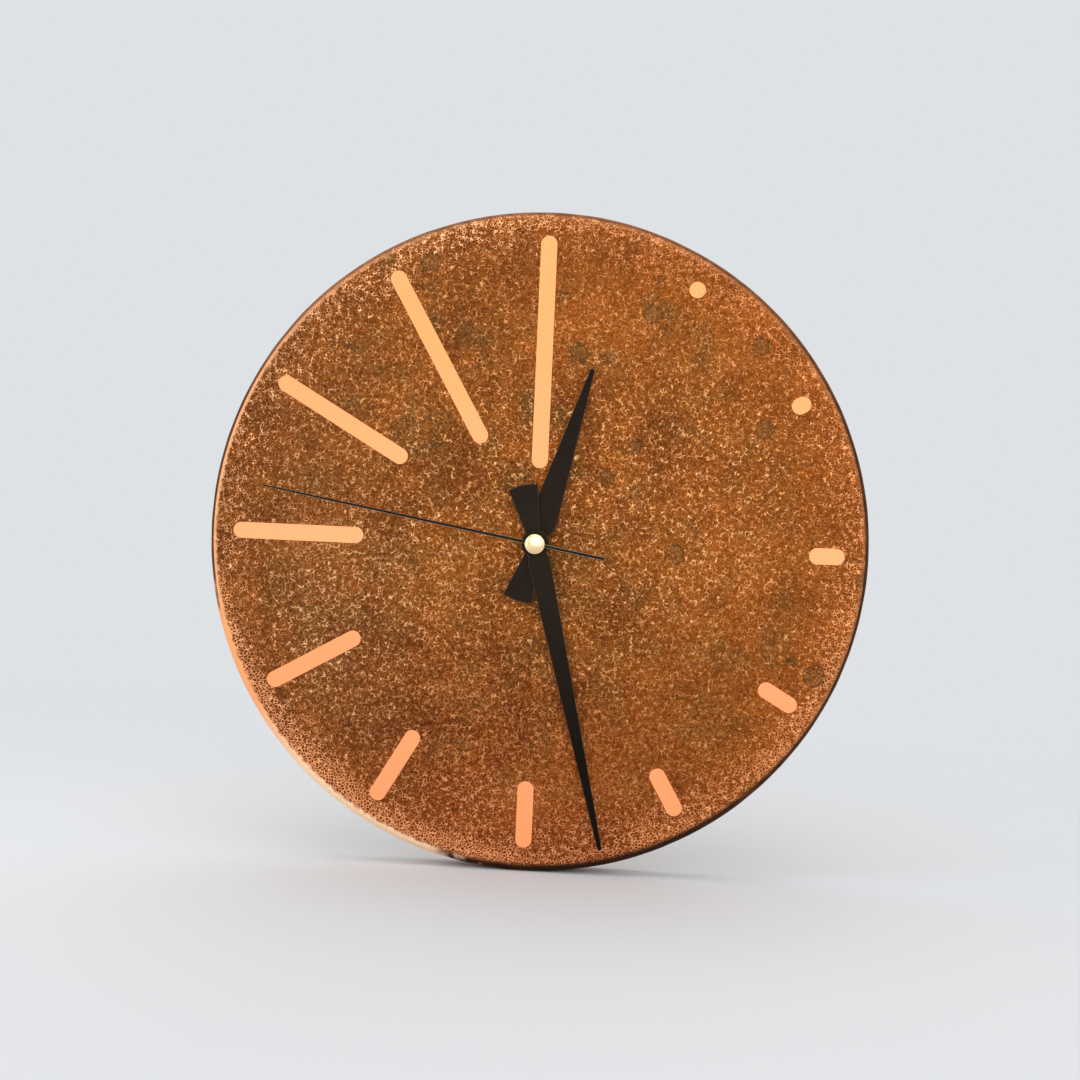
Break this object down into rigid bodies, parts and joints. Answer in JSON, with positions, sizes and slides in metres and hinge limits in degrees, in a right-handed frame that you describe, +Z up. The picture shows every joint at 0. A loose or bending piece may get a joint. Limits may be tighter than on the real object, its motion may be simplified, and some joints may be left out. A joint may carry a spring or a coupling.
{
  "type": "wall clock",
  "caption": "Round wall clock with a patinated copper face over a wooden board, bright bars that lengthen around the dial, black hands and a quartz movement hung by a keyhole plate.",
  "frame": {"origin": "middle of the keyhole's round entrance, on the back face of the hanger plate and board", "axes": "+Z up towards 12 o'clock, +Y into the wall, -Y out of the dial towards the viewer, +X towards 3 o'clock"},
  "size_m": [0.3, 0.0364, 0.3],
  "materials": {
    "patina_copper": "reticulated heat and salt patina on copper sheet",
    "bright_copper": "smooth bare copper",
    "fibreboard": "sanded medium density fibreboard",
    "zinc_steel": "zinc plated pressed steel",
    "yellow_zinc": "yellow passivated steel",
    "soft_rubber": "matt black rubber",
    "turned_brass": "turned brass",
    "black_hands": "satin black lacquer on stamped aluminium",
    "polished_cap": "polished champagne plating",
    "case_plastic": "fine textured black moulding",
    "cover_plastic": "fine textured dark grey moulding",
    "wheel_plastic": "natural acetal moulding",
    "knob_plastic": "black moulding",
    "bobbin_plastic": "natural nylon moulding",
    "copper_wire": "enamelled copper wire",
    "motor_iron": "soft iron sheet and ferrite magnet",
    "circuit_laminate": "green solder mask",
    "chip_resin": "black potting resin",
    "contact_steel": "nickel plated spring strip",
    "cell_jacket": "plain printed jacket on a steel can"
  },
  "bodies": {
    "clock_body": {"dial_face": "patina_copper", "backing_board": "fibreboard", "hanger_plate": "zinc_steel", "hanger_screws": "yellow_zinc", "wall_bumpers": "soft_rubber", "rubber_gasket": "soft_rubber", "brass_washer": "turned_brass", "hex_nut": "turned_brass", "threaded_bush": "turned_brass", "movement_case": "case_plastic", "movement_cover": "cover_plastic", "train_plate": "wheel_plastic", "train_plate_screws": "zinc_steel", "stator": "motor_iron", "coil_core": "motor_iron", "coil_bobbin": "bobbin_plastic", "coil_winding": "copper_wire", "circuit_board": "circuit_laminate", "chip": "chip_resin", "quartz_crystal": "contact_steel", "positive_contact": "contact_steel", "negative_contact": "contact_steel", "hour_marker_1": "bright_copper", "hour_marker_2": "bright_copper", "hour_marker_3": "bright_copper", "hour_marker_4": "bright_copper", "hour_marker_5": "bright_copper", "hour_marker_6": "bright_copper", "hour_marker_7": "bright_copper", "hour_marker_8": "bright_copper", "hour_marker_9": "bright_copper", "hour_marker_10": "bright_copper", "hour_marker_11": "bright_copper", "hour_marker_12": "bright_copper"},
    "second_hand_group": {"second_hand": "black_hands", "centre_cap": "polished_cap", "seconds_wheel": "wheel_plastic"},
    "intermediate_group": {"intermediate_wheel": "wheel_plastic"},
    "rotor_group": {"rotor": "motor_iron"},
    "third_group": {"third_wheel": "wheel_plastic"},
    "centre_group": {"centre_wheel": "wheel_plastic"},
    "minute_hand_group": {"minute_hand": "black_hands", "minute_pipe": "turned_brass"},
    "minute_wheel_group": {"minute_wheel": "wheel_plastic"},
    "hour_hand_group": {"hour_hand": "black_hands", "hour_wheel": "wheel_plastic"},
    "setting_group": {"setting_shaft": "wheel_plastic", "setting_knob": "knob_plastic"},
    "battery_group": {"battery": "cell_jacket"}
  },
  "joints": [
    {"name": "minute_turn", "type": "hinge", "parent": "clock_body", "child": "minute_hand_group", "pos_m": [0, 0, -0.092], "axis": [0, 1, 0], "continuous": true},
    {"name": "hour_turn", "type": "hinge", "parent": "clock_body", "child": "hour_hand_group", "pos_m": [0, 0, -0.092], "axis": [0, 1, 0], "continuous": true},
    {"name": "minute_wheel_turn", "type": "hinge", "parent": "clock_body", "child": "minute_wheel_group", "pos_m": [0.012, 0, -0.092], "axis": [0, 1, 0], "continuous": true},
    {"name": "setting_turn", "type": "hinge", "parent": "clock_body", "child": "setting_group", "pos_m": [0.02119, 0, -0.08429], "axis": [0, 1, 0], "continuous": true},
    {"name": "seconds_turn", "type": "hinge", "parent": "clock_body", "child": "second_hand_group", "pos_m": [0, 0, -0.092], "axis": [0, 1, 0], "continuous": true},
    {"name": "intermediate_turn", "type": "hinge", "parent": "clock_body", "child": "intermediate_group", "pos_m": [0, 0, -0.0811], "axis": [0, 1, 0], "continuous": true},
    {"name": "rotor_turn", "type": "hinge", "parent": "clock_body", "child": "rotor_group", "pos_m": [0.0052, 0, -0.0781], "axis": [0, 1, 0], "continuous": true},
    {"name": "third_turn", "type": "hinge", "parent": "clock_body", "child": "third_group", "pos_m": [-0.01062, 0, -0.092], "axis": [0, 1, 0], "continuous": true},
    {"name": "centre_turn", "type": "hinge", "parent": "clock_body", "child": "centre_group", "pos_m": [0, 0, -0.092], "axis": [0, 1, 0], "continuous": true},
    {"name": "battery_lift", "type": "slide", "parent": "clock_body", "child": "battery_group", "axis": [0, 1, 0], "range_m": [0, 0.025]}
  ],
  "couplings": [
    {"joint": "hour_turn", "follows": "minute_turn", "ratio": 0.083333},
    {"joint": "minute_wheel_turn", "follows": "minute_turn", "ratio": -0.33333},
    {"joint": "setting_turn", "follows": "minute_turn", "ratio": 1},
    {"joint": "intermediate_turn", "follows": "seconds_turn", "ratio": -6},
    {"joint": "rotor_turn", "follows": "seconds_turn", "ratio": 30},
    {"joint": "third_turn", "follows": "seconds_turn", "ratio": -0.13333},
    {"joint": "centre_turn", "follows": "seconds_turn", "ratio": 0.016667}
  ]
}
